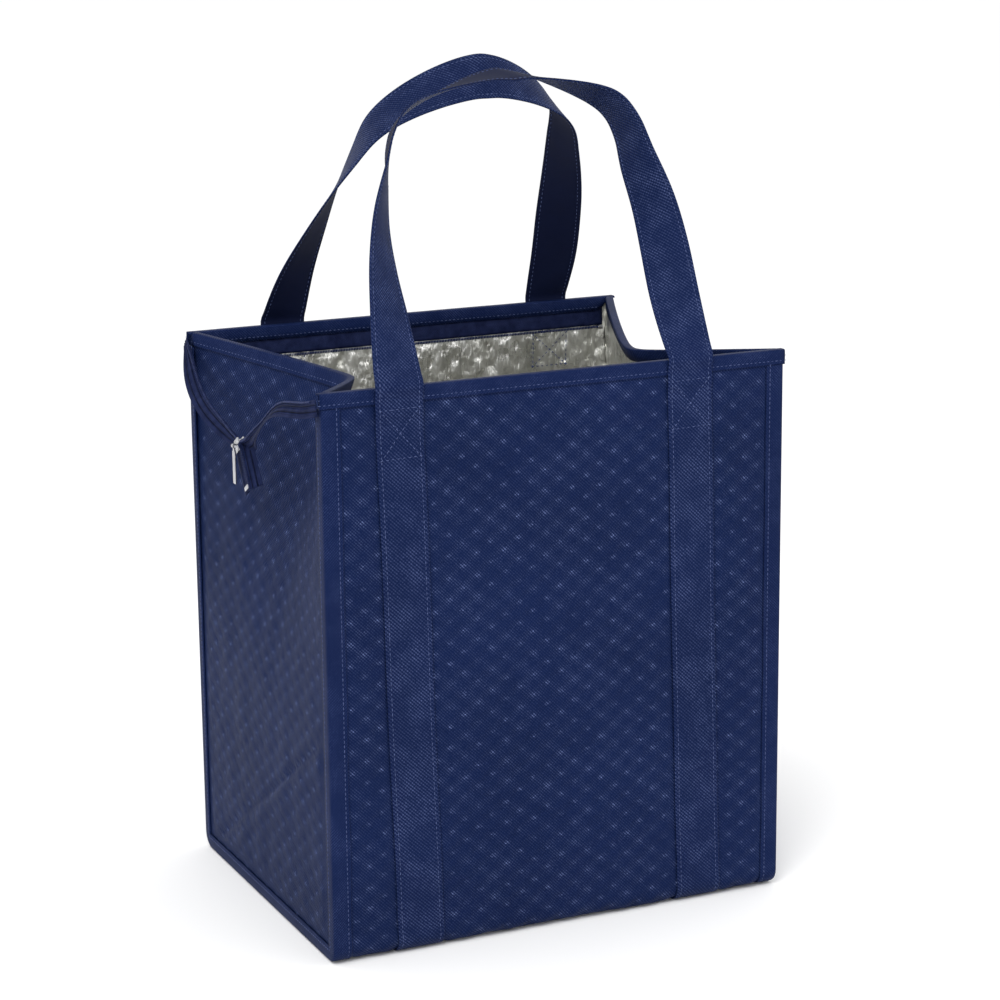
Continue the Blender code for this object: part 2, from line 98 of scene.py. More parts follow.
# the rings of corners along a swept CAD node, from its starting end to the other
def nodeRings(name, atStart, count=4):
    bm = nodeShape(name)
    ring = sorted(bm.verts, key=lambda v: (v.co - Vector(atStart)).length)[:count]
    seen = set()
    rings = []
    while ring:
        if rings:
            middle = sum((v.co for v in ring), Vector()) / len(ring)
            last = rings[-1]
            lastMiddle = sum((v.co for v in last), Vector()) / len(last)
            left = list(ring)
            ring = []
            for v in last:
                near = min(left, key=lambda w: ((w.co - middle) - (v.co - lastMiddle)).length)
                left.remove(near)
                ring.append(near)
        rings.append(ring)
        seen.update(ring)
        ring = list({e.other_vert(v) for v in ring for e in v.link_edges} - seen)
    found = [np.array([v.co for v in r]) for r in rings]
    bm.free()
    return found


# distance run along a row of points, from 0
def runLength(points):
    return np.concatenate([[0], np.cumsum(np.linalg.norm(np.diff(points, axis=0), axis=1))])


# every column of rows read at the wanted distances
def resample(rows, lengths, wanted):
    return np.stack([np.interp(wanted, lengths, rows[:, k]) for k in range(rows.shape[1])], 1)


def ease(share):
    share = np.clip(share, 0, 1)
    return share * share * (3 - 2 * share)


# smooth unevenness between about -1 and 1
def ripple(u, v, size, seed, waves=7):
    rng = np.random.default_rng(seed)
    total = np.zeros(np.broadcast(u, v).shape)
    for _ in range(waves):
        turn = rng.uniform(0, 2 * math.pi)
        length = size * rng.uniform(0.7, 1.6)
        phase = rng.uniform(0, 2 * math.pi)
        total += np.sin((u * math.cos(turn) + v * math.sin(turn)) * 2 * math.pi / length + phase)
    return total / math.sqrt(waves * 2)


# camera, lights and floor

stage = {
    "target": (0.0189, 0.0, 0.2666),
    "azimuth": -24.76,
    "elevation": 13.47,
    "distance": 1.9644,
    "lens": 101.5,
    "roll": -0.0101,
    "skyStrength": 1.05,
    "keyWatts": 34.0,
    "fillWatts": 5.0,
    "floorRadius": 60.0,
}


def makeStage():
    scene = bpy.context.scene
    scene.view_settings.view_transform = "Standard"
    around = math.radians(stage["azimuth"])
    up = math.radians(stage["elevation"])
    back = Vector((math.sin(around) * math.cos(up), -math.cos(around) * math.cos(up), math.sin(up)))
    camera = bpy.data.objects.new("camera", bpy.data.cameras.new("camera"))
    scene.collection.objects.link(camera)
    camera.data.lens = stage["lens"]
    place = Matrix.Translation(Vector(stage["target"]) + back * stage["distance"])
    aim = (-back).to_track_quat("-Z", "Y").to_matrix().to_4x4()
    camera.matrix_world = place @ aim @ Matrix.Rotation(stage["roll"], 4, "Z")
    camera.data.clip_end = 200.0
    scene.camera = camera

    world = bpy.data.worlds.new("sky")
    world.use_nodes = True
    world.node_tree.nodes["Background"].inputs["Color"].default_value = (1, 1, 1, 1)
    world.node_tree.nodes["Background"].inputs["Strength"].default_value = stage["skyStrength"]
    scene.world = world

    for name, spot, size, watts in (
        ("key", (-1.1, -1.5, 2.3), 1.1, stage["keyWatts"]),
        ("fill", (1.9, -0.9, 1.2), 1.4, stage["fillWatts"]),
    ):
        lamp = bpy.data.lights.new(name, "AREA")
        lamp.size = size
        lamp.energy = watts
        light = bpy.data.objects.new(name, lamp)
        light.location = spot
        light.rotation_euler = (Vector((0, 0, 0.25)) - Vector(spot)).to_track_quat("-Z", "Y").to_euler()
        scene.collection.objects.link(light)

    bm = bmesh.new()
    bmesh.ops.create_circle(bm, cap_ends=True, radius=stage["floorRadius"], segments=96)
    mesh = bpy.data.meshes.new("floor")
    bm.to_mesh(mesh)
    bm.free()
    floor = bpy.data.objects.new("floor", mesh)
    scene.collection.objects.link(floor)
    paint = bpy.data.materials.new("paleFloor")
    paint.use_nodes = True
    shader = paint.node_tree.nodes["Principled BSDF"]
    shader.inputs["Base Color"].default_value = (0.96, 0.96, 0.96, 1)
    shader.inputs["Roughness"].default_value = 0.9
    shader.inputs["Specular IOR Level"].default_value = 0.0
    mesh.materials.append(paint)


makeStage()
print("stage made")

# quilting of every wall, and the layers under it

quilting = {
    "across": 19.8 * mm,
    "down": 14.4 * mm,
    "puff": 1.6 * mm,
    "weld": 3.3 * mm,
    "step": 3.0 * mm,
    "foldRadius": 10.0 * mm,
    "slump": 2.2 * mm,
    "shellT": 0.6 * mm,
    "foamT": 1.0 * mm,
    "foilT": 0.25 * mm,
    "foilPuff": 1.5 * mm,
}

# finishes


# short hand for wiring a material
class Nodes:
    def __init__(self, name):
        self.material = bpy.data.materials.new(name)
        self.material.use_nodes = True
        self.tree = self.material.node_tree
        self.shader = self.tree.nodes["Principled BSDF"]

    def add(self, kind, **inputs):
        node = self.tree.nodes.new(kind)
        for key, value in inputs.items():
            self.put(node.inputs[key.replace("_", " ")], value)
        return node

    # value is a plain one or another node's outlet
    def put(self, socket, value):
        if isinstance(value, bpy.types.NodeSocket):
            self.tree.links.new(value, socket)
        else:
            socket.default_value = value

    # inputs of the main shader, given by name
    def set(self, **inputs):
        for key, value in inputs.items():
            self.put(self.shader.inputs[key.replace("_", " ")], value)

    def spots(self):
        return self.add("ShaderNodeTexCoord").outputs["Object"]

    def cut(self):
        uv = self.add("ShaderNodeUVMap")
        uv.uv_map = "cut"
        return self.add("ShaderNodeSeparateXYZ", Vector=uv.outputs[0]).outputs[:2]

    def math(self, kind, a, b=0.0, clamp=False, plus=None):
        node = self.tree.nodes.new("ShaderNodeMath")
        node.operation = kind
        node.use_clamp = clamp
        self.put(node.inputs[0], a)
        self.put(node.inputs[1], b)
        if plus is not None:
            self.put(node.inputs[2], plus)
        return node.outputs[0]

    def mix(self, share, a, b):
        node = self.tree.nodes.new("ShaderNodeMix")
        node.data_type = "RGBA"
        self.put(node.inputs["Factor"], share)
        self.put(node.inputs[6], a if isinstance(a, bpy.types.NodeSocket) else (*a, 1))
        self.put(node.inputs[7], b if isinstance(b, bpy.types.NodeSocket) else (*b, 1))
        return node.outputs[2]

    def noise(self, where, scale, detail=2.0, rough=0.5):
        node = self.add("ShaderNodeTexNoise", Vector=where, Scale=scale, Detail=detail, Roughness=rough)
        return node.outputs["Fac"]

    def ramp(self, value, low, high):
        node = self.add("ShaderNodeMapRange", Value=value)
        node.inputs["From Min"].default_value = low
        node.inputs["From Max"].default_value = high
        return node.outputs["Result"]

    def bump(self, height, distance, strength=1.0, under=None):
        node = self.add("ShaderNodeBump", Height=height, Distance=distance, Strength=strength)
        if under:
            self.put(node.inputs["Normal"], under)
        return node.outputs["Normal"]


# embossed non-woven cloth: crossed diagonal rows of tiny raised dots, their crests painted lighter in drifts
# as painted highlight and, with a lattice (across, down), most of all beside the quilting's welded dots
def fabric(name, dark, light, pitch, depth=0.15 * mm, shine=0.6, ground=0.2, lattice=None, rough=0.55):
    n = Nodes(name)
    u, v = n.cut()
    k = 2 * math.pi / pitch
    rising = n.math("SINE", n.math("MULTIPLY", n.math("ADD", u, v), k * 0.7071))
    falling = n.math("SINE", n.math("MULTIPLY", n.math("SUBTRACT", u, v), k * 0.7071))
    dots = n.math("MULTIPLY_ADD", n.math("ADD", falling, n.math("MULTIPLY", rising, 0.45)), 0.345, plus=0.5)
    spots = n.spots()
    blotch = n.noise(spots, 60.0, 3.0)
    fibre = n.noise(spots, 900.0, 2.0, 0.7)
    highlightPatch = n.ramp(blotch, 0.42, 0.66)
    if lattice:
        a, b = lattice
        su = n.math("COSINE", n.math("MULTIPLY", n.math("ADD", u, -0.12 * a), 2 * math.pi / a))
        sv = n.math("COSINE", n.math("MULTIPLY", n.math("ADD", v, 0.2 * b), 2 * math.pi / b))
        near = n.math("MULTIPLY_ADD", n.math("MULTIPLY", su, sv), 0.5, plus=0.5)
        wide = n.math("MULTIPLY", near, n.ramp(blotch, 0.3, 0.7), True)
        uneven = n.ramp(n.noise(spots, 140.0, 2.0), 0.35, 0.6)
        spot = n.math("MULTIPLY", n.math("POWER", near, 14.0), uneven, True)
        highlightPatch = n.math("MULTIPLY_ADD", wide, 0.42, plus=n.math("MULTIPLY", spot, 1.3))
        highlightPatch = n.math("MINIMUM", highlightPatch, 1.0)
    highlightPatch = n.math("MULTIPLY_ADD", highlightPatch, 1.0 - ground, True, ground)
    # painted highlight: the crests of the raised dots, inside the highlight patches, are painted towards the
    # light colour
    paintedHighlight = n.math("MULTIPLY", n.math("POWER", dots, 2.2), highlightPatch, True)
    paintedHighlight = n.math("MULTIPLY", paintedHighlight, n.ramp(fibre, 0.3, 0.62), True)
    paintedHighlight = n.math("MULTIPLY", paintedHighlight, shine)
    tone = n.mix(n.ramp(n.noise(spots, 9.0, 2.0), 0.3, 0.75), dark, [c * 1.25 for c in dark])
    n.set(Base_Color=n.mix(paintedHighlight, tone, light), Specular_IOR_Level=0.04,
          Specular_Tint=(0.6, 0.7, 1.0, 1),
          Roughness=n.math("MULTIPLY_ADD", dots, -0.15, plus=rough),
          Normal=n.bump(dots, depth, 1.0, n.bump(fibre, 0.06 * mm, 0.5)))
    return n.material


# metallised film, crinkled in fine creases and dulled by a satin grain; its colour is painted darker in the
# crease hollows and lighter on the ridges, as painted shade and highlight
def foilFinish():
    n = Nodes("foilFilm")
    spots = n.spots()
    tall = n.add("ShaderNodeMapping", Vector=spots)
    tall.inputs["Scale"].default_value = (1.0, 1.0, 0.2)
    creases = n.noise(tall.outputs[0], 85.0, 4.0, 0.58)
    crumple = n.add("ShaderNodeTexVoronoi", Vector=spots, Scale=210.0)
    crumple.feature = "SMOOTH_F1"
    grain = n.noise(spots, 2600.0, 2.0)
    # painted shade and highlight: the colour follows the crease height, darker low and lighter high
    tone = n.mix(n.ramp(creases, 0.35, 0.68), (0.72, 0.72, 0.67), (0.97, 0.97, 0.94))
    first = n.bump(creases, 7.0 * mm, 1.0)
    second = n.bump(crumple.outputs["Distance"], 0.8 * mm, 0.7, first)
    n.set(Base_Color=tone, Metallic=0.95, Roughness=n.ramp(n.noise(spots, 60.0, 2.0), -0.2, 1.9),
          Normal=n.bump(grain, 0.06 * mm, 0.8, second))
    return n.material


# fine herringbone of a zipper tape, its raised threads painted lighter in drifts as painted highlight
def tapeFinish(name, dark, light):
    n = Nodes(name)
    u, v = n.cut()
    slant = n.math("ADD", v, n.math("PINGPONG", u, 1.2 * mm))
    threads = n.math("SINE", n.math("MULTIPLY", slant, 2 * math.pi / (0.7 * mm)))
    height = n.math("MULTIPLY_ADD", threads, 0.5, plus=0.5)
    # painted highlight: the raised threads are painted towards the light colour
    share = n.math("MULTIPLY", height, n.ramp(n.noise(n.spots(), 160.0, 2.0), 0.3, 0.75), True)
    n.set(Base_Color=n.mix(share, dark, light), Roughness=0.7, Specular_IOR_Level=0.1,
          Normal=n.bump(height, 0.08 * mm, 0.8))
    return n.material


# an even finish with small wear: two close tones, uneven gloss and a fine grain
def plainFinish(name, dark, light, scale, rough, metallic=0.0, bumpDepth=0.05 * mm):
    n = Nodes(name)
    spots = n.spots()
    cloud = n.noise(spots, scale, 4.0, 0.6)
    n.set(Base_Color=n.mix(n.ramp(cloud, 0.3, 0.7), dark, light), Metallic=metallic,
          Roughness=n.math("MULTIPLY_ADD", cloud, 0.2, plus=rough - 0.1),
          Specular_IOR_Level=0.5 if metallic else 0.15,
          Normal=n.bump(n.noise(spots, scale * 6, 2.0), bumpDepth, 0.6))
    return n.material


finish = {
    # the second colour of each fabric is the painted highlight on its dot crests
    "shell": fabric("navyQuilted", (0.0036, 0.0094, 0.043), (0.16, 0.21, 0.43), 1.6 * mm, 0.3 * mm, 1.0,
                    ground=0.10, lattice=(quilting["across"], quilting["down"])),
    "binding": fabric("navyBinding", (0.0036, 0.0092, 0.042), (0.09, 0.12, 0.28), 1.4 * mm,
                      shine=0.45, ground=0.4),
    "webbing": fabric("navyWebbing", (0.0036, 0.0092, 0.042), (0.13, 0.17, 0.36), 1.8 * mm,
                      0.3 * mm, 0.6, 0.4),
    # inside face of the webbing: plain, textureless navy, painted much darker than the outer face as painted
    # shade
    "webbingInsidePaintedShade": plainFinish("navyWebbingInside", (0.0012, 0.0040, 0.024),
                                 (0.0022, 0.0058, 0.030), 40.0, 0.8),
    "thread": plainFinish("navyThread", (0.04, 0.058, 0.15), (0.09, 0.12, 0.26), 500.0, 0.5),
    # the tape's second colour is a painted highlight on its raised threads
    "tape": tapeFinish("navyTape", (0.0034, 0.0076, 0.036), (0.022, 0.032, 0.10)),
    "coil": plainFinish("navyCoil", (0.010, 0.017, 0.06), (0.03, 0.042, 0.12), 300.0, 0.3),
    "foil": foilFinish(),
    "foam": plainFinish("whiteFoam", (0.78, 0.78, 0.75), (0.88, 0.88, 0.85), 900.0, 0.85, 0.0, 0.2 * mm),
    "board": plainFinish("greyBoard", (0.28, 0.24, 0.18), (0.40, 0.35, 0.27), 260.0, 0.85, 0.0, 0.1 * mm),
    "metal": plainFinish("platedMetal", (0.36, 0.37, 0.40), (0.52, 0.52, 0.55), 700.0, 0.24, 1.0, 0.01 * mm),
}
print("finishes made")

# making and hanging pieces


def addPiece(name, mesh, body, replaced=(), materials=()):
    for material in materials:
        mesh.materials.append(material)
    piece = bpy.data.objects.new(name, mesh)
    bpy.context.scene.collection.objects.link(piece)
    if body:
        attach(piece, body)
    if replaced:
        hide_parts(*replaced)
    return piece


# a smooth sheet of quads over rows and columns of points; cut is its flat layout, in metres
def gridMesh(name, points, cut, facing, closed=False):
    rows, cols = points.shape[:2]
    at = np.arange(rows * cols).reshape(rows, cols)
    wide = np.concatenate([at, at[:, :1]], 1) if closed else at
    a, b = wide[:-1, :-1], wide[:-1, 1:]
    c, d = wide[1:, 1:], wide[1:, :-1]
    quads = np.stack([a, b, c, d], -1).reshape(-1, 4)
    flat = points.reshape(-1, 3)
    middle = quads[(rows // 2) * (wide.shape[1] - 1)]
    normal = np.cross(flat[middle[1]] - flat[middle[0]], flat[middle[2]] - flat[middle[0]])
    if normal @ np.array(facing) < 0:
        quads = quads[:, ::-1]
    faces = quads.tolist()
    if closed:
        faces += [at[0].tolist(), at[-1].tolist()]
    mesh = bpy.data.meshes.new(name)
    mesh.from_pydata(flat.tolist(), [], faces)
    layer = mesh.uv_layers.new(name="cut")
    corner = np.zeros(len(mesh.loops), np.int32)
    mesh.loops.foreach_get("vertex_index", corner)
    layer.data.foreach_set("uv", cut.reshape(-1, 2)[corner].astype(np.float32).ravel())
    if closed:
        bm = bmesh.new()
        bm.from_mesh(mesh)
        bmesh.ops.recalc_face_normals(bm, faces=bm.faces)
        bm.to_mesh(mesh)
        bm.free()
    mesh.shade_smooth()
    return mesh


# gives a sheet its thickness on the side away from its face
def thicken(piece, thickness):
    wall = piece.modifiers.new("thickness", "SOLIDIFY")
    wall.thickness = thickness
    wall.offset = -1
    return piece


# one sheet of the bag with its thickness, in the place of a CAD node
def addLayer(name, points, cut, facing, node, look, thickness):
    mesh = gridMesh(name, points, cut, facing)
    return thicken(addPiece(name, mesh, "bag", [node], [finish[look]]), thickness)


def setInput(modifier, label, value):
    for item in modifier.node_group.interface.items_tree:
        if item.name == label and item.in_out == "INPUT":
            modifier[item.identifier] = value


# geometry nodes: beads, one behind the other, along every path of edges
def beadTree():
    tree = bpy.data.node_groups.new("beadsAlongPaths", "GeometryNodeTree")
    tree.interface.new_socket("Geometry", in_out="INPUT", socket_type="NodeSocketGeometry")
    for label in ("Pitch", "Bead Length", "Bead Width", "Unevenness"):
        tree.interface.new_socket(label, in_out="INPUT", socket_type="NodeSocketFloat")
    tree.interface.new_socket("Seed", in_out="INPUT", socket_type="NodeSocketInt")
    tree.interface.new_socket("Finish", in_out="INPUT", socket_type="NodeSocketMaterial")
    tree.interface.new_socket("Geometry", in_out="OUTPUT", socket_type="NodeSocketGeometry")
    add = tree.nodes.new
    given = add("NodeGroupInput")
    made = add("NodeGroupOutput")
    toCurve = add("GeometryNodeMeshToCurve")
    spread = add("GeometryNodeResampleCurve")
    spread.mode = "LENGTH"
    points = add("GeometryNodeCurveToPoints")
    points.mode = "EVALUATED"
    turn = add("FunctionNodeAlignRotationToVector")
    turn.axis = "X"
    ball = add("GeometryNodeMeshUVSphere")
    ball.inputs["Segments"].default_value = 6
    ball.inputs["Rings"].default_value = 4
    ball.inputs["Radius"].default_value = 0.5
    size = add("ShaderNodeCombineXYZ")
    uneven = add("FunctionNodeRandomValue")
    less = add("ShaderNodeMath")
    less.operation = "SUBTRACT"
    less.inputs[0].default_value = 1.0
    scaled = add("ShaderNodeVectorMath")
    scaled.operation = "SCALE"
    place = add("GeometryNodeInstanceOnPoints")
    real = add("GeometryNodeRealizeInstances")
    smooth = add("GeometryNodeSetShadeSmooth")
    paint = add("GeometryNodeSetMaterial")
    uneven.inputs[3].default_value = 1.0
    for source, outlet, target, inlet in (
        (given, "Geometry", toCurve, "Mesh"),
        (toCurve, "Curve", spread, "Curve"),
        (given, "Pitch", spread, "Length"),
        (spread, "Curve", points, "Curve"),
        (points, "Tangent", turn, "Vector"),
        (given, "Bead Length", size, "X"),
        (given, "Bead Width", size, "Y"),
        (given, "Bead Width", size, "Z"),
        (given, "Unevenness", less, 1),
        (less, 0, uneven, 2),
        (given, "Seed", uneven, "Seed"),
        (size, 0, scaled, 0),
        (uneven, 1, scaled, "Scale"),
        (points, "Points", place, "Points"),
        (ball, "Mesh", place, "Instance"),
        (turn, "Rotation", place, "Rotation"),
        (scaled, "Vector", place, "Scale"),
        (place, "Instances", real, "Geometry"),
        (real, "Geometry", smooth, "Geometry"),
        (smooth, "Geometry", paint, "Geometry"),
        (given, "Finish", paint, "Material"),
        (paint, "Geometry", made, "Geometry"),
    ):
        tree.links.new(source.outputs[outlet], target.inputs[inlet])
    return tree


beadsAlongPaths = beadTree()


# stitches or zipper turns along paths, made a plain mesh
def beads(name, paths, body, material, pitch, length, width, uneven=0.25, seed=3, replaced=()):
    points, edges = [], []
    for path in paths:
        start = len(points)
        points += [tuple(p) for p in path]
        edges += [(i, i + 1) for i in range(start, len(points) - 1)]
    mesh = bpy.data.meshes.new(name)
    mesh.from_pydata(points, edges, [])
    guide = bpy.data.objects.new(f"{name}_guide", mesh)
    bpy.context.scene.collection.objects.link(guide)
    modifier = guide.modifiers.new("beads", "NODES")
    modifier.node_group = beadsAlongPaths
    for label, value in (
        ("Pitch", pitch), ("Bead Length", length), ("Bead Width", width),
        ("Unevenness", uneven), ("Seed", seed), ("Finish", material),
    ):
        setInput(modifier, label, value)
    bpy.context.view_layer.update()
    graph = bpy.context.evaluated_depsgraph_get()
    made = bpy.data.meshes.new_from_object(guide.evaluated_get(graph))
    bpy.data.objects.remove(guide)
    made.name = name
    return addPiece(name, made, body, replaced)


# a CAD node with its sharp edges broken, for small metal pieces
def bevelledCopy(name, node, width):
    bm = nodeShape(node, 0.002 * mm)
    bmesh.ops.dissolve_limit(bm, angle_limit=math.radians(2), verts=bm.verts, edges=bm.edges)
    bmesh.ops.recalc_face_normals(bm, faces=bm.faces)
    mesh = bpy.data.meshes.new(name)
    bm.to_mesh(mesh)
    bm.free()
    mesh.shade_smooth()
    piece = addPiece(name, mesh, frame["nodes"][node]["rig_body"], [node], [finish["metal"]])
    edge = piece.modifiers.new("broken edges", "BEVEL")
    edge.width = width
    edge.segments = 2
    edge.limit_method = "ANGLE"
    edge.angle_limit = math.radians(30)
    return piece


# webbing: where each strap lies on its panel

webbing = {
    "edgeToStitch": 3.0 * mm,
    "groove": 0.28 * mm,
    "station": 2.5 * mm,
    "stitchPitch": 3.4 * mm,
    "stitchLength": 2.6 * mm,
    "boxTop": 0.3685,
    "boxLow": 0.333,
    "bendStart": -1.2 * mm,
    "bendLength": 2.4 * mm,
}

strapPoints = {side: nodePoints(f"webbing_strap_{word}") for side, word in ((-1, "left"), (1, "right"))}
strapTop = strapPoints[-1][:, 2].max()
strapOut = -strapPoints[-1][:, 1].min()
handleRings = {}
for handleWord, handleSide in (("front", -1), ("back", 1)):
    start = nodePoints(f"{handleWord}_handle")
    start = start[start[:, 2] < start[:, 2].min() + 2 * mm]
    start = start[start[:, 0] < middleX].mean(0)
    handleRings[handleSide] = nodeRings(f"{handleWord}_handle", start)


# middle and width of a ribbon's four-cornered ring
def ringFrame(ring):
    middle = ring.mean(0)
    gaps = [(np.linalg.norm(ring[i] - ring[j]), i, j) for i in range(4) for j in range(i)]
    gaps.sort()
    (_, a, b), (_, c, d) = gaps[0], gaps[1]
    width = (ring[a] + ring[b]) / 2 - (ring[c] + ring[d]) / 2
    return middle, width, gaps[0][0]


webbingW = np.linalg.norm(ringFrame(handleRings[-1][0])[1])
webbingT = ringFrame(handleRings[-1][0])[2]


# strap middle at the base, and how far its ends stand to the side at the rim
def strapSpan(side):
    points = strapPoints[side]
    base = points[points[:, 2] < baseZ][:, 0].mean()
    front = points[(points[:, 2] > strapTop - 0.1 * mm) & (points[:, 1] < 0)][:, 0].mean()
    return base, base - front


strapBase = {side: strapSpan(side)[0] for side in (-1, 1)}
strapSkew = strapSpan(-1)[1]


def strapX(side, facing, z):
    return strapBase[side] + facing * strapSkew * np.clip(z / strapTop, 0, 1)


# shell, foam and foil of the wrap: front panel, base and back panel in one

foamDepth = wrapHigh.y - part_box("wrap_foam")[1].y
foilDepth = wrapHigh.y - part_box("wrap_foil")[1].y
wallDepth = foilDepth + 0.4 * mm


# 0 at the welded dots, 1 on the puffed cloth between them
def quiltHeight(u, v, seed=1):
    a, b = quilting["across"], quilting["down"]
    best = np.full(np.broadcast(u, v).shape, 9.0)
    for du, dv in ((0, 0), (a / 2, b / 2)):
        x = (u + du + a / 2) % a - a / 2
        y = (v + dv + b / 2) % b - b / 2
        best = np.minimum(best, np.hypot(x, y * 1.15))
    egg = 0.5 - 0.5 * np.cos(2 * math.pi * u / a) * np.cos(2 * math.pi * v / b)
    pit = 1 - np.exp(-((best / quilting["weld"]) ** 2))
    uneven = 1 + 0.25 * ripple(u, v, 55 * mm, seed)
    return (0.62 * pit + 0.38 * egg) * uneven


# how far a panel stands out of its plane, which every layer of it follows; level across each strap
def slump(facing, x, z):
    for strap in (-1, 1):
        aside = x - strapX(strap, facing, z)
        x = x - aside * (1 - ease((np.abs(aside) - webbingW / 2 - 1 * mm) / (14 * mm)))
    side = ease((halfW - 14 * mm - np.abs(x - middleX)) / (45 * mm))
    ends = ease((z - 22 * mm) / (60 * mm)) * ease((panelTop - 16 * mm - z) / (60 * mm))
    return quilting["slump"] * side * ends * ripple(x, z, 190 * mm, 11 if facing < 0 else 12)


# stations down the front, under the base and up the back: y, z and the outward direction
def wrapPath(step, top):
    r = quilting["foldRadius"]
    down = max(2, int((top - baseZ - r) / step))
    under = max(2, int(2 * (halfD - r) / step))
    turn = np.linspace(0, math.pi / 2, 7)[1:-1]
    y, z, ny, nz = [], [], [], []
    for facing in (-1, 1):
        zs = np.linspace(top, baseZ + r, down)
        part = [(facing * halfD, h, facing, 0.0) for h in zs]
        part += [
            (facing * (halfD - r + r * math.cos(t)), baseZ + r - r * math.sin(t),
             facing * math.cos(t), -math.sin(t))
            for t in turn
        ]
        if facing > 0:
            part.reverse()
        for station, store in zip(zip(*part), (y, z, ny, nz)):
            store.extend(station)
        if facing < 0:
            for flat in np.linspace(-halfD + r, halfD - r, under):
                for value, store in zip((flat, baseZ, 0.0, -1.0), (y, z, ny, nz)):
                    store.append(value)
    return [np.array(a) for a in (y, z, ny, nz)]


# points and flat layout of one layer of the wrap, relief(x, s, y, z) standing outwards
def wrapSheet(step, top, depth, relief, inset=0.0, lift=0.0):
    y, z, ny, nz = wrapPath(step, top)
    cols = int(2 * (halfW - inset) / step) + 1
    x = np.linspace(middleX - halfW + inset, middleX + halfW - inset, cols)
    s = runLength(np.stack([y, z], 1))
    gridX, gridY = np.meshgrid(x, y)
    gridS = np.meshgrid(x, s)[1]
    gridZ = np.meshgrid(x, z)[1]
    outY = np.meshgrid(x, ny)[1]
    outZ = np.meshgrid(x, nz)[1]
    slack = np.abs(outY) * np.where(outY < 0, slump(-1, gridX, gridZ), slump(1, gridX, gridZ))
    out = relief(gridX, gridS, gridY, gridZ) - depth + slack
    raised = gridZ + outZ * out + lift * (outZ < 0) * -outZ
    points = np.stack([gridX, gridY + outY * out, raised], -1)
    return points, np.stack([gridX, gridS], -1)


# 1 where the cloth is free to puff, 0 under bindings and straps
def panelMask(x, y, z):
    rim = ease((panelTop - 9.5 * mm - z) / (5 * mm))
    side = ease((halfW - 12 * mm - np.abs(x - middleX)) / (6 * mm))
    mask = rim * side
    for strap in (-1, 1):
        away = np.abs(x - strapX(strap, np.sign(y), z)) - webbingW / 2
        mask = mask * ease((away + 0.5 * mm) / (5 * mm))
    return mask


def shellRelief(x, s, y, z):
    flat = np.where(z < baseZ + 1 * mm, 0.45, 1.0)
    crossRipple = 0.25 * ripple(x + z, z * 0.5, 26 * mm, 21)
    return quilting["puff"] * flat * panelMask(x, y, z) * (quiltHeight(x, s) + crossRipple)


def noRelief(x, s, y, z):
    return 0 * x


# how far the crinkled foil puffs off the foam; still along the rim above it
def foilHeight(u, v, belowRim, seeds, fine):
    wrinkle = 0.5 * ripple(u * 3.2, v * 0.35, 34 * mm, seeds[1])
    wrinkle = wrinkle + fine * ripple(u * 5, v, 30 * mm, seeds[2])
    free = 0.15 + 0.85 * ease(belowRim / (6 * mm))
    return quilting["foilPuff"] * free * (quiltHeight(u, v, seeds[0]) + wrinkle - 0.2)


def foilRelief(x, s, y, z):
    return -foilHeight(x, s, panelTop - 20 * mm - z, (5, 31, 32), 0.35)


def makeWrap():
    step = quilting["step"]
    points, cut = wrapSheet(step, panelTop - 0.6 * mm, 0.0, shellRelief)
    piece = addLayer("quilted_wrap", points, cut, (0, 0, -1), "wrap_shell", "shell",
                     quilting["shellT"])

    points, cut = wrapSheet(9 * mm, panelTop - 1.5 * mm, foamDepth + 0.25 * mm, noRelief, 4 * mm)
    piece = addLayer("foam_wrap", points, cut, (0, 0, -1), "wrap_foam", "foam", quilting["foamT"])

    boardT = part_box("base_board")[1].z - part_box("base_board")[0].z
    points, cut = wrapSheet(step, panelTop - 1 * mm, wallDepth, foilRelief, wallDepth, boardT + 0.6 * mm)
    piece = addLayer("foil_wrap", points, cut, (0, 0, 1), "wrap_foil", "foil", quilting["foilT"])
    frame["nodes"]["base_board"].data.materials.clear()
    frame["nodes"]["base_board"].data.materials.append(finish["board"])


makeWrap()
print("wrap made")

# gussets

gusset = {
    "step": 3.0 * mm,
    "puff": 0.85 * mm,
    "wave": 0.7 * mm,
    "crease": 1.5 * mm,
    "creaseWidth": 3.2 * mm,
    "creaseFrom": (85 * mm, 24 * mm),
    "creaseTo": (-100 * mm, 140 * mm),
    "ridge": 9 * mm,
    "foamDepth": 1.35 * mm,
    "smoothing": 3,
}


def soften(values, times):
    for _ in range(times):
        for axis in (0, 1):
            rolled = np.moveaxis(values, axis, 0)
            inner = (rolled[:-2] + 2 * rolled[1:-1] + rolled[2:]) / 4
            rolled[1:-1] = inner
            values = np.moveaxis(rolled, 0, axis)
    return values


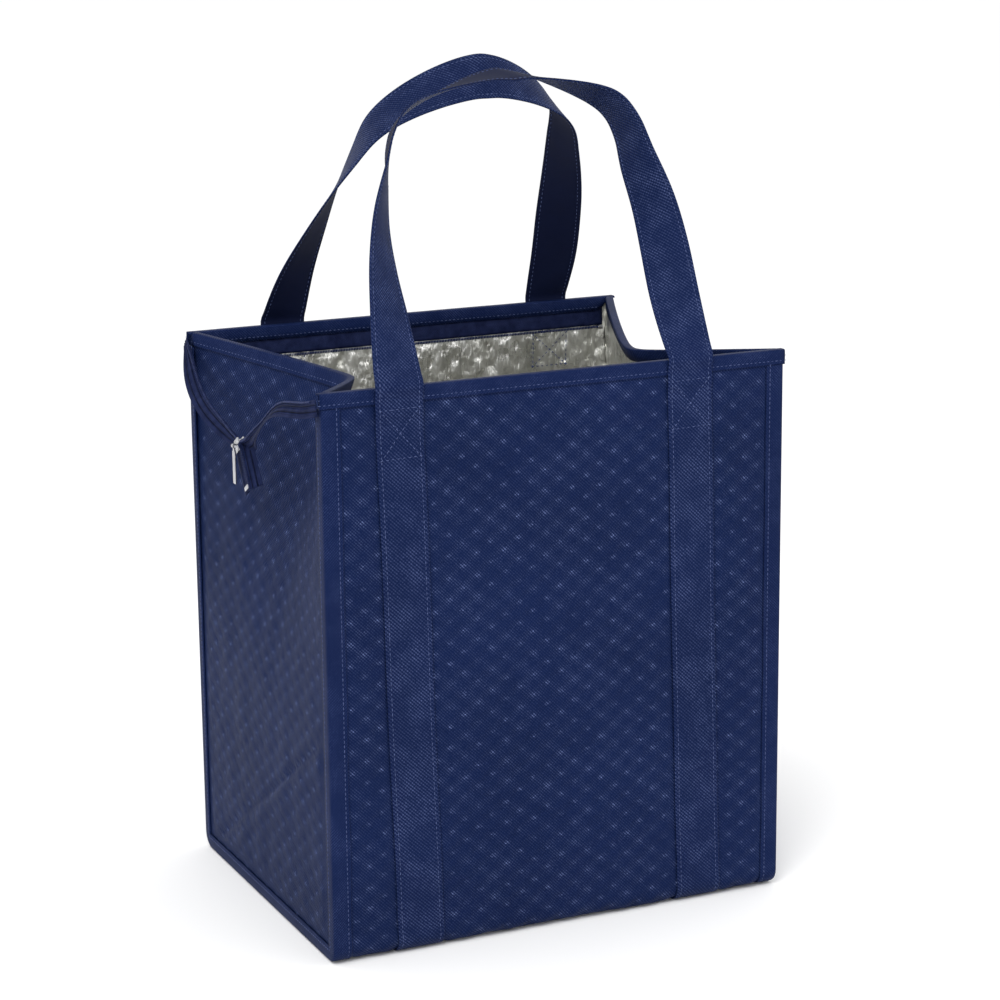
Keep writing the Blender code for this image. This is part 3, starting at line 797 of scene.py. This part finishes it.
# the outer face of a CAD gusset as an even grid: rows along y, columns up z
def gussetSurface(side, word):
    node = frame["nodes"][f"gusset_shell_{word}"]
    raw = nodePoints(node.name)
    tops = {}
    for _, y, z in raw:
        tops[round(y, 4)] = max(z, tops.get(round(y, 4), 0))
    ends = sorted(tops)
    low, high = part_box(node.name)
    ys = np.linspace(low.y + 0.2 * mm, high.y - 0.2 * mm, int((high.y - low.y) / gusset["step"]))
    shares = np.linspace(0, 1, int((high.z - low.z) / gusset["step"]))
    top = np.interp(ys, ends, [tops[y] for y in ends]) - 0.3 * mm
    bm = bmesh.new()
    bm.from_mesh(node.data)
    tree = BVHTree.FromBMesh(bm)
    bm.free()
    full = np.zeros((len(ys), len(shares), 3))
    for i, y in enumerate(ys):
        for k, z in enumerate(low.z + 0.1 * mm + (top[i] - low.z - 0.1 * mm) * shares):
            hit = tree.ray_cast(Vector((middleX + side * 0.3, y, z)), Vector((-side, 0, 0)))[0]
            full[i, k] = (hit.x if hit else full[i, k - 1, 0], y, z)
    full[..., 0] = soften(full[..., 0].copy(), gusset["smoothing"])
    return full


def sheetNormals(points, side):
    du = np.gradient(points, axis=0)
    dv = np.gradient(points, axis=1)
    normal = np.cross(du, dv)
    normal /= np.linalg.norm(normal, axis=-1, keepdims=True)
    return normal * np.where(normal[..., :1] * side < 0, -1, 1)


def gussetRelief(y, z, side, top):
    edge = ease((halfD - 13 * mm - np.abs(y)) / (8 * mm)) * ease((top - 10 * mm - z) / (8 * mm))
    edge = edge * ease((z - 14 * mm) / (8 * mm))
    a, b = np.array(gusset["creaseFrom"]), np.array(gusset["creaseTo"])
    along = (b - a) / np.linalg.norm(b - a)
    away = (y - a[0]) * -along[1] + (z - a[1]) * along[0]
    crease = -gusset["crease"] * np.exp(-((away / gusset["creaseWidth"]) ** 2))
    crease = crease + 0.8 * gusset["crease"] * np.exp(-(((away - gusset["ridge"]) / gusset["ridge"]) ** 2))
    wave = gusset["wave"] * ripple(y * 2.2, z * 0.6, 60 * mm, 41 + side)
    return edge * (gusset["puff"] * quiltHeight(y, z, 7) + crease + 0.6 * wave)


def makeGussets():
    for side, word in ((-1, "left"), (1, "right")):
        surface = gussetSurface(side, word)
        normals = sheetNormals(surface, side)
        y, z = surface[..., 1], surface[..., 2]
        top = np.repeat(z[:, -1:], z.shape[1], 1)
        cut = np.stack([y, z], -1)
        relief = gussetRelief(y, z, side, top)
        layers = (
            ("quilted_gusset", 0.0, relief, quilting["shellT"], "shell_fabric", "gusset_shell", "shell"),
            ("foam_gusset", gusset["foamDepth"], np.minimum(relief, 0), quilting["foamT"],
             "foam", "gusset_foam", "foam"),
        )
        for name, depth, out, thickness, slot, node, look in layers:
            points = surface + normals * (out - depth)[..., None]
            points[:, -1] = surface[:, -1] - normals[:, -1] * depth
            piece = addLayer(f"{name}_{word}", points, cut, (side, 0, 0), f"{node}_{word}", look,
                             thickness)
        inner = foilHeight(y, z, top - 10 * mm - z, (9, 35, 36), 0.3)
        points = surface + normals * (np.minimum(relief, 0) - wallDepth - inner)[..., None]
        piece = addLayer(f"foil_gusset_{word}", points, cut, (-side, 0, 0),
                         f"gusset_foil_{word}", "foil", quilting["foilT"])


makeGussets()
print("gussets made")

# bindings over the rims and round the seams

binding = {
    "station": 5.0 * mm,
    "stitchUp": 2.6 * mm,
    "rowGap": 3.4 * mm,
    "stitchPitch": 3.2 * mm,
    "stitchLength": 2.5 * mm,
    "thread": 0.62 * mm,
    "thickness": 0.75 * mm,
    "bulge": 0.1 * mm,
}


# closed outline of a folded strip, as (out, z) points; outer and inner count away from the wall
def uProfile(outer, inner, low, top, innerLow):
    t = binding["thickness"]
    r = 1.1 * mm
    face = [(outer, low)]
    for share in (0.12, 0.26, 0.4, 0.6, 0.8):
        sink = binding["bulge"] * (1.4 if share == 0.26 else -math.sin(math.pi * share) * 0.9)
        face.append((outer - sink, low + (top - r - low) * share))
    face += [(outer, top - r), (outer - r * 0.3, top - r * 0.3), (outer - r, top)]
    crown = [(inner + r, top), (inner + r * 0.3, top - r * 0.3), (inner, top - r)]
    hidden = [(inner, (top - r + innerLow) / 2), (inner, innerLow), (inner + t, innerLow)]
    lining = [(inner + t, top - t - r * 0.2), (inner + r, top - t), (outer - r, top - t)]
    lining += [(outer - t, top - t - r * 0.2), (outer - t, low)]
    return face + crown + hidden + lining


# a mesh through one closed outline of 3-d points per station
def sweepProfiles(name, profiles, along, facing):
    points = np.array(profiles)
    ring = runLength(points[len(points) // 2])
    cut = np.stack(np.meshgrid(ring, along), -1)
    return gridMesh(name, points, cut, facing, closed=True)


# one swept binding in the place of its CAD node, with its rows of stitches
def makeBinding(name, stitchName, node, profiles, along, facing, rows):
    mesh = sweepProfiles(name, profiles, along, facing)
    addPiece(name, mesh, "bag", [node], [finish["binding"]])
    beads(stitchName, rows, "bag", finish["thread"],
          binding["stitchPitch"], binding["stitchLength"], binding["thread"])


def makeRims():
    for side, word in ((-1, "front"), (1, "back")):
        low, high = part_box(f"top_binding_{word}")
        outer, inner = max(abs(low.y), abs(high.y)), min(abs(low.y), abs(high.y))
        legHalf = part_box(f"zipper_tape_{word}")[1].x - middleX
        xs = np.linspace(low.x, high.x, int((high.x - low.x) / binding["station"]))
        profiles, stitches, insideStitches = [], [], []
        for x in xs:
            share = float(ease((legHalf + 1 * mm - abs(x - middleX)) / (2 * mm)))
            innerLow = high.z - 1.4 * mm - share * (high.z - low.z - 1.4 * mm)
            sway = 0.08 * mm * float(ripple(np.array(x), np.array(0.0), 60 * mm, 50 + side))
            outline = uProfile(outer, inner, low.z, high.z, innerLow)
            profiles.append([(x, side * (d + sway * 0.5), min(high.z, z + sway)) for d, z in outline])
            stitches.append((x, side * (outer - 0.2 * mm), low.z + binding["stitchUp"] + sway))
            if share > 0.99:
                insideStitches.append((x, side * (inner + 0.1 * mm), low.z + binding["stitchUp"] + sway))
        second = [(x, y, z + binding["rowGap"]) for x, y, z in stitches]
        makeBinding(f"rim_binding_{word}", f"rim_stitches_{word}", f"top_binding_{word}",
                    profiles, xs, (0, 0, 1), [stitches, second, insideStitches])


def makeGussetRims():
    for side, word in ((-1, "left"), (1, "right")):
        raw = nodePoints(f"gusset_binding_{word}")
        ys = np.unique(np.round(raw[:, 1], 5))
        facts = []
        for y in ys:
            group = raw[np.abs(raw[:, 1] - y) < 0.02 * mm]
            crown = group[group[:, 2] > group[:, 2].max() - 0.5 * mm]
            foot = group[group[:, 2] < group[:, 2].min() + 0.5 * mm]
            facts.append(((side * crown[:, 0]).max(), (side * crown[:, 0]).min(),
                          (side * foot[:, 0]).max(), (side * foot[:, 0]).min(),
                          group[:, 2].min(), group[:, 2].max()))
        facts = np.array(facts)
        fine = np.linspace(ys[0], ys[-1], int((ys[-1] - ys[0]) / (2.5 * mm)))
        smooth = resample(facts, ys, fine)
        for _ in range(6):
            smooth[1:-1] = (smooth[:-2] + 2 * smooth[1:-1] + smooth[2:]) / 4
        profiles, stitches = [], []
        for y, (topOut, topIn, lowOut, _, low, top) in zip(fine, smooth):
            outline = uProfile(topOut, topIn, low, top, low)
            shifted = []
            for d, z in outline:
                share = (z - low) / (top - low)
                lean = (lowOut - topOut) * (1 - share)
                shifted.append((side * (d + lean), y, z))
            profiles.append(shifted)
            up = binding["stitchUp"]
            share = up / (top - low)
            stitches.append((side * (topOut + (lowOut - topOut) * (1 - share) - 0.15 * mm), y, low + up))
        makeBinding(f"gusset_rim_{word}", f"gusset_rim_stitches_{word}", f"gusset_binding_{word}",
                    profiles, fine, (0, 0, 1), [stitches])


seam = {"legW": 12 * mm, "sideLeg": 9.4 * mm, "gap": 0.3 * mm, "roll": 1.3 * mm, "stitchIn": 2.8 * mm}


def makeSeams():
    t = binding["thickness"]
    for side, word in ((-1, "left"), (1, "right")):
        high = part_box(f"corner_binding_{word}")[1]
        y, z, ny, nz = wrapPath(binding["station"], high.z)
        s = runLength(np.stack([y, z], 1))
        out = seam["gap"] + t
        far = halfW + out
        near = halfW - seam["legW"]
        r = seam["roll"]
        outline = [(near, out - 0.25 * mm), (near + 1.2 * mm, out + 0.05 * mm),
                   (near + seam["stitchIn"], out - 0.2 * mm), (near + 5 * mm, out + 0.15 * mm),
                   (near + 8 * mm, out + 0.25 * mm), (far - r, out + 0.1 * mm),
                   (far - r * 0.3, out - r * 0.3), (far, out - r), (far + 0.15 * mm, -3 * mm),
                   (far - 0.1 * mm, -seam["sideLeg"] + seam["stitchIn"]), (far, -seam["sideLeg"]),
                   (far - t, -seam["sideLeg"]), (far - t, seam["gap"] - 1 * mm),
                   (far - t - 1 * mm, seam["gap"]), (near, seam["gap"])]
        profiles = []
        for i in range(len(y)):
            sway = 0.35 * mm * float(ripple(s[i], np.array(0.0), 70 * mm, 60 + side))
            profiles.append([(middleX + side * (x + (sway if x < halfW - 2 * mm else 0)),
                              y[i] + ny[i] * n, z[i] + nz[i] * n) for x, n in outline])
        rows = []
        for x, n in ((near + seam["stitchIn"], out - 0.05 * mm), (far, -seam["sideLeg"] + seam["stitchIn"])):
            rows.append([(middleX + side * x, a + c * n, b + d * n) for a, b, c, d in zip(y, z, ny, nz)])
        makeBinding(f"seam_binding_{word}", f"seam_stitches_{word}", f"corner_binding_{word}",
                    profiles, s, (0, 0, -1), rows)


makeRims()
makeGussetRims()
makeSeams()
print("bindings made")

# webbing: each length runs up a panel, over as a handle and down the panel again


# even stations on a smooth curve through rows of numbers, the first three a point
def smoothLine(stations, step):
    rows = np.array(stations)
    padded = np.concatenate([[2 * rows[0] - rows[1]], rows, [2 * rows[-1] - rows[-2]]])
    fine = []
    for a, b, c, d in zip(padded, padded[1:], padded[2:], padded[3:]):
        for t in np.linspace(0, 1, 12, endpoint=False):
            fine.append(0.5 * (2 * b + (c - a) * t + (2 * a - 5 * b + 4 * c - d) * t**2
                               + (3 * b - a - 3 * c + d) * t**3))
    fine.append(rows[-1])
    fine = np.array(fine)
    lengths = runLength(fine[:, :3])
    wanted = np.linspace(0, lengths[-1], int(lengths[-1] / step) + 1)
    return resample(fine, lengths, wanted), wanted


# middle of a strap from under the base up to the rim
def strapStations(side, facing):
    r = quilting["foldRadius"]
    out = 0.3 * mm + webbingT / 2
    underBase = (0.15 * mm, 40 * mm, 80 * mm, halfD - r - 4 * mm)
    stations = [(strapBase[side], facing * y, baseZ - out) for y in underBase]
    for turn in np.linspace(0.15, math.pi / 2 - 0.15, 4):
        reach = r + out
        stations.append((strapBase[side], facing * (halfD - r + reach * math.sin(turn)),
                         baseZ + r - reach * math.cos(turn)))
    step = strapTop - 21 * mm
    for z in np.arange(baseZ + r + 6 * mm, step - 8 * mm, 14 * mm):
        x = strapX(side, facing, z)
        stations.append((x, facing * (halfD + out + float(slump(facing, x, z))), z))
    outer = strapOut - webbingT / 2
    for z in (step - 1 * mm, step + 2 * mm, step + 6 * mm, step + 13 * mm):
        share = float(ease((z - step + 2 * mm) / (5 * mm)))
        stations.append((strapX(side, facing, z), facing * (halfD + out + share * (outer - halfD - out)), z))
    return stations


# the whole length: left strap, handle loop, right strap
def webbingLine(facing):
    left = strapStations(-1, facing)
    right = strapStations(1, facing)
    loop = []
    last = None
    for ring in handleRings[facing]:
        middle, width, _ = ringFrame(ring)
        width = width / np.linalg.norm(width)
        if last is None and width[0] > 0 or last is not None and width @ last < 0:
            width = -width
        last = width
        loop.append((*middle, *width))
    left = [(*p[:3], -1.0, 0.0, 0.0) for p in left]
    right = [(*p[:3], 1.0, 0.0, 0.0) for p in right]
    return smoothLine(left + loop + right[::-1], webbing["station"])


# a flat strip with soft edges; returns its mesh and the frame at each station
def ribbonMesh(name, line, along, width, thickness, seed, groove=0.0, wave=0.0):
    centre = line[:, :3]
    tangent = np.gradient(centre, axis=0)
    tangent /= np.linalg.norm(tangent, axis=1, keepdims=True)
    across = line[:, 3:6] - tangent * np.sum(line[:, 3:6] * tangent, 1, keepdims=True)
    across /= np.linalg.norm(across, axis=1, keepdims=True)
    face = np.cross(tangent, across)
    half = width / 2
    e = webbing["edgeToStitch"] if groove else width * 0.2
    spots = [-1, -0.985, -(1 - e / half * 0.5), -(1 - e / half), -(1 - e / half * 1.6), -0.4, 0,
             0.4, 1 - e / half * 1.6, 1 - e / half, 1 - e / half * 0.5, 0.985, 1]
    sunk = 1 - 2 * groove / thickness
    thick = [0.25, 0.8, 1, sunk, 1, 1, 1, 1, 1, sunk, 1, 0.8, 0.25]
    ring, lay = [], []
    for sign, order in ((1, range(13)), (-1, range(12, -1, -1))):
        for k in order:
            cup = wave * ripple(along, np.full_like(along, spots[k] * half), 70 * mm, seed)
            shift = across * (spots[k] * half) + face * (sign * thick[k] * thickness / 2 + cup)[:, None]
            ring.append(centre + shift)
            lay.append(np.stack([np.full_like(along, spots[k] * half), along], -1))
    points = np.stack(ring, 1)
    cut = np.stack(lay, 1)
    mesh = gridMesh(name, points, cut, tuple(face[len(face) // 2]), closed=True)
    return mesh, centre, across, face


def makeWebbing():
    for facing, word in ((-1, "front"), (1, "back")):
        line, along = webbingLine(facing)
        mesh, centre, across, face = ribbonMesh(
            f"webbing_{word}", line, along, webbingW, webbingT, 70 + facing, webbing["groove"], 0.04 * mm)
        outward = -1 if (face[5] @ np.array([0, 0, 1])) > 0 else 1
        normals = np.zeros(len(mesh.polygons) * 3)
        mesh.polygons.foreach_get("normal", normals)
        middles = np.zeros(len(mesh.polygons) * 3)
        mesh.polygons.foreach_get("center", middles)
        normals, middles = normals.reshape(-1, 3), middles.reshape(-1, 3)
        nearest = np.array([np.argmin(np.sum((centre - m) ** 2, 1)) for m in middles])
        # faces on the inside of the webbing take the darker inside finish, which is painted shade
        inside = np.sum(normals * face[nearest], 1) * outward < -0.3
        piece = addPiece(f"webbing_{word}", mesh, None,
                         [f"{word}_handle", "webbing_strap_left", "webbing_strap_right"],
                         [finish["webbing"], finish["webbingInsidePaintedShade"]])
        mesh.polygons.foreach_set("material_index", inside.astype(np.int32))
        half = webbingW / 2 - webbing["edgeToStitch"]
        paths = []
        for side in (-1, 1):
            for sign in (-1, 1):
                lift = sign * (webbingT / 2 - webbing["groove"] + 0.12 * mm)
                paths.append(centre + across * side * half + face * lift)
        surface = face * outward * (webbingT / 2 + 0.08 * mm)
        for side in (-1, 1):
            onPanel = [i for i in range(len(centre)) if np.sign(centre[i, 0] - middleX) == side
                       and abs(centre[i, 1]) > halfD - 1 * mm
                       and webbing["boxLow"] - 0.1 * mm <= centre[i, 2] <= webbing["boxTop"]
                       and abs(abs(across[i, 0]) - 1) < 0.02]
            z = centre[onPanel, 2]
            order = [onPanel[k] for k in np.argsort(z)]
            low, high = order[0], order[-1]
            for end in (low, high):
                middle = centre[end] + surface[end]
                paths.append([middle + across[end] * half * a for a in np.linspace(-1, 1, 9)])
            for lean in (-1, 1):
                shares = np.linspace(-1, 1, len(order))
                paths.append([centre[i] + surface[i] + across[i] * half * lean * a
                              for i, a in zip(order, shares)])
        stitches = beads(f"webbing_stitches_{word}", paths, None, finish["thread"],
                         webbing["stitchPitch"], webbing["stitchLength"], 0.6 * mm)
        hinge = Vector(next(j for j in frame["joints"] if j["child"] == f"{word}_handle")["pos_m"])
        top = max(centre, key=lambda p: p[2])
        lean = Vector((0, top[1] - hinge.y, top[2] - hinge.z)).normalized()
        for soft in (piece, stitches):
            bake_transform(soft)


makeWebbing()
print("webbing made")

# zipper: tapes, coils and stops inside the mouth, then the closed tail

zipper = {
    "coilPitch": 1.25 * mm,
    "turnThickness": 0.85 * mm,
    "tailCoilW": 1.6 * mm,
    "tailStation": 2.5 * mm,
    "bandT": 0.6 * mm,
    "backTwist": 58.0,
    "frontTwist": 40.0,
    "bulge": 6.5 * mm,
    "frontTurn": 0.30,
    "frontDrop": 7.2 * mm,
    "aside": 5.0 * mm,
}


def makeMouthZipper():
    for side, word in ((-1, "front"), (1, "back")):
        low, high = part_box(f"zipper_tape_{word}")
        xs = np.linspace(low.x, high.x, 110)
        zs = np.linspace(high.z, low.z, 10)
        gridZ, gridX = np.meshgrid(zs, xs)
        face = min(abs(low.y), abs(high.y))
        sag = ease((high.z - gridZ) / (high.z - low.z))
        wave = 0.5 * mm * sag * (1 + ripple(gridX, gridZ * 0.2, 60 * mm, 80 + side))
        points = np.stack([gridX, side * (face - wave), gridZ], -1)
        cut = np.stack([gridZ, gridX], -1)
        piece = addLayer(f"mouth_tape_{word}", points, cut, (0, -side, 0),
                         f"zipper_tape_{word}", "tape", 0.5 * mm)
        low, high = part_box(f"zipper_coil_{word}")
        y, z = (low.y + high.y) / 2, (low.z + high.z) / 2
        path = [(x, y, z) for x in np.linspace(low.x, high.x, 40)]
        beads(f"mouth_coil_{word}", [path], "bag", finish["coil"], zipper["coilPitch"],
              zipper["turnThickness"], high.z - low.z, 0.05, 5, [f"zipper_coil_{word}"])
        bevelledCopy(f"mouth_stop_{word}", f"zipper_stop_{word}", 0.45 * mm)


# middle and width along a flat strip of the tail, from the top down, read from the outline of its face
def tailStations(node):
    bm = nodeShape(node)
    bmesh.ops.recalc_face_normals(bm, faces=bm.faces)
    face = {f for f in bm.faces if f.normal.x < -0.9}
    rim = [e for e in bm.edges if sum(f in face for f in e.link_faces) == 1]
    beside = {}
    for edge in rim:
        for v in edge.verts:
            beside.setdefault(v, []).append(edge.other_vert(v))
    loop = [rim[0].verts[0]]
    while len(loop) < len(beside):
        loop.append(next(v for v in beside[loop[-1]] if v not in loop[-2:] and v not in loop))
    spots = np.array([v.co for v in loop])
    bm.free()
    gaps = np.linalg.norm(np.roll(spots, -1, 0) - spots, axis=1)
    count = len(spots)
    top = int(np.argmax(spots[:, 2]))
    shortest = 1e3
    head = min((top, (top - 1) % count),
               key=lambda i: spots[i, 2] + spots[(i + 1) % count, 2] + gaps[i] * shortest)
    spots = np.roll(spots, -(head + 1), axis=0)
    gaps = np.linalg.norm(np.diff(spots, axis=0), axis=1)
    foot = min(range(count // 2 - 3, count // 2 + 3), key=lambda i: spots[i, 2] + spots[i + 1, 2])
    even = []
    for side in (spots[: foot + 1], spots[foot + 1:][::-1]):
        lengths = runLength(side)
        even.append(resample(side, lengths, np.linspace(0, lengths[-1], 26)))
    return [((p + q) / 2, p - q, 0) for p, q in zip(*even)]


# the sealed tail's flat strips given the swing and twist of loose tape; rows of middle and width
def tailShape(stations, side):
    count = len(stations)
    reference = stations[0][1]
    outward = np.array([-1.0, 0, 0])
    rows = []
    for i, (middle, across, _) in enumerate(stations):
        if across @ reference < 0:
            across = -across
        reference = across
        share = i / (count - 1)
        across = across / np.linalg.norm(across) * (1 if stations[0][1][2] > 0 else -1)
        free = math.sin(math.pi * min(1, share / 0.72)) if share < 0.72 else 0.0
        middle = middle + outward * zipper["bulge"] * free
        if side > 0:
            twist = -math.radians(zipper["backTwist"]) * free
        else:
            sag = math.exp(-(((share - zipper["frontTurn"]) / 0.2) ** 2)) * free
            late = float(ease((share - 0.5) / 0.3))
            middle = middle + np.array([0, 0, 1.0]) * zipper["frontDrop"] * sag
            middle = middle + np.array([0, -1.0, 0]) * zipper["aside"] * late
            twist = math.radians(zipper["frontTwist"]) * (late - free)
        rows.append((*middle, *(across * math.cos(twist) + outward * math.sin(twist))))
    return rows


def makeTail():
    for side, word in ((-1, "front"), (1, "back")):
        stations = tailStations(f"tail_tape_{word}")
        width = float(np.median([np.linalg.norm(w) for _, w, _ in stations]))
        rows = tailShape(stations, side)
        line, along = smoothLine(rows, zipper["tailStation"])
        mesh, centre, across, face = ribbonMesh(
            f"tail_band_{word}", line, along, width, zipper["bandT"], 90 + side, 0.0, 0.3 * mm)
        piece = addPiece(f"tail_band_{word}", mesh, "zipper_tail", [f"tail_tape_{word}"],
                         [finish["tape"]])
        coil = np.array([middle for middle, _, _ in tailStations(f"tail_coil_{word}")])
        near = [int(np.argmin(np.sum((centre - c) ** 2, 1))) for c in coil]
        sign = np.sign(np.median(np.sum((coil - centre[near]) * across[near], 1)))
        out = face * np.where(face[:, :1] < 0, 1, -1)
        path = centre + across * sign * (width / 2 - 1.0 * mm) + out * 1.0 * mm
        beads(f"tail_turns_{word}", [path[3:]], "zipper_tail", finish["coil"],
              zipper["coilPitch"], zipper["turnThickness"], zipper["tailCoilW"],
              0.05, 6, [f"tail_coil_{word}"])
        lift = out * (zipper["bandT"] / 2)
        ribs = [centre + across * (k * width / 2) + lift for k in (-0.62, -0.2, 0.25)]
        beads(f"tail_ribs_{word}", ribs, "zipper_tail", finish["tape"],
              1.4 * mm, 2.4 * mm, 0.7 * mm, 0.1, 8)
    bevelledCopy("tail_clamp", "tail_end_stop", 0.25 * mm)
    bevelledCopy("slider_body", "zipper_slider", 0.12 * mm)
    bevelledCopy("pull_tab", "zipper_pull_tab", 0.12 * mm)


makeMouthZipper()
makeTail()
print("zipper made")

# box of crossed stitches seen on the foil behind each strap


def makeInnerBoxes():
    half = webbingW / 2 - webbing["edgeToStitch"]
    paths = []
    inside = halfD - wallDepth - quilting["foilPuff"] * 0.9
    for facing in (-1, 1):
        for side in (-1, 1):
            low, high = webbing["boxLow"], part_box("zipper_coil_back")[0].z - 0.5 * mm
            corners = [(-1, low), (1, low), (1, high), (-1, high)]
            spots = [(strapX(side, facing, z) + a * half, facing * inside, z) for a, z in corners]
            for i, j in ((0, 1), (1, 2), (3, 0), (0, 2), (1, 3)):
                a, b = np.array(spots[i]), np.array(spots[j])
                paths.append([tuple(a + (b - a) * t) for t in np.linspace(0, 1, 12)])
    beads("inner_box_stitches", paths, "bag", finish["thread"],
          webbing["stitchPitch"], webbing["stitchLength"], 0.7 * mm)


makeInnerBoxes()
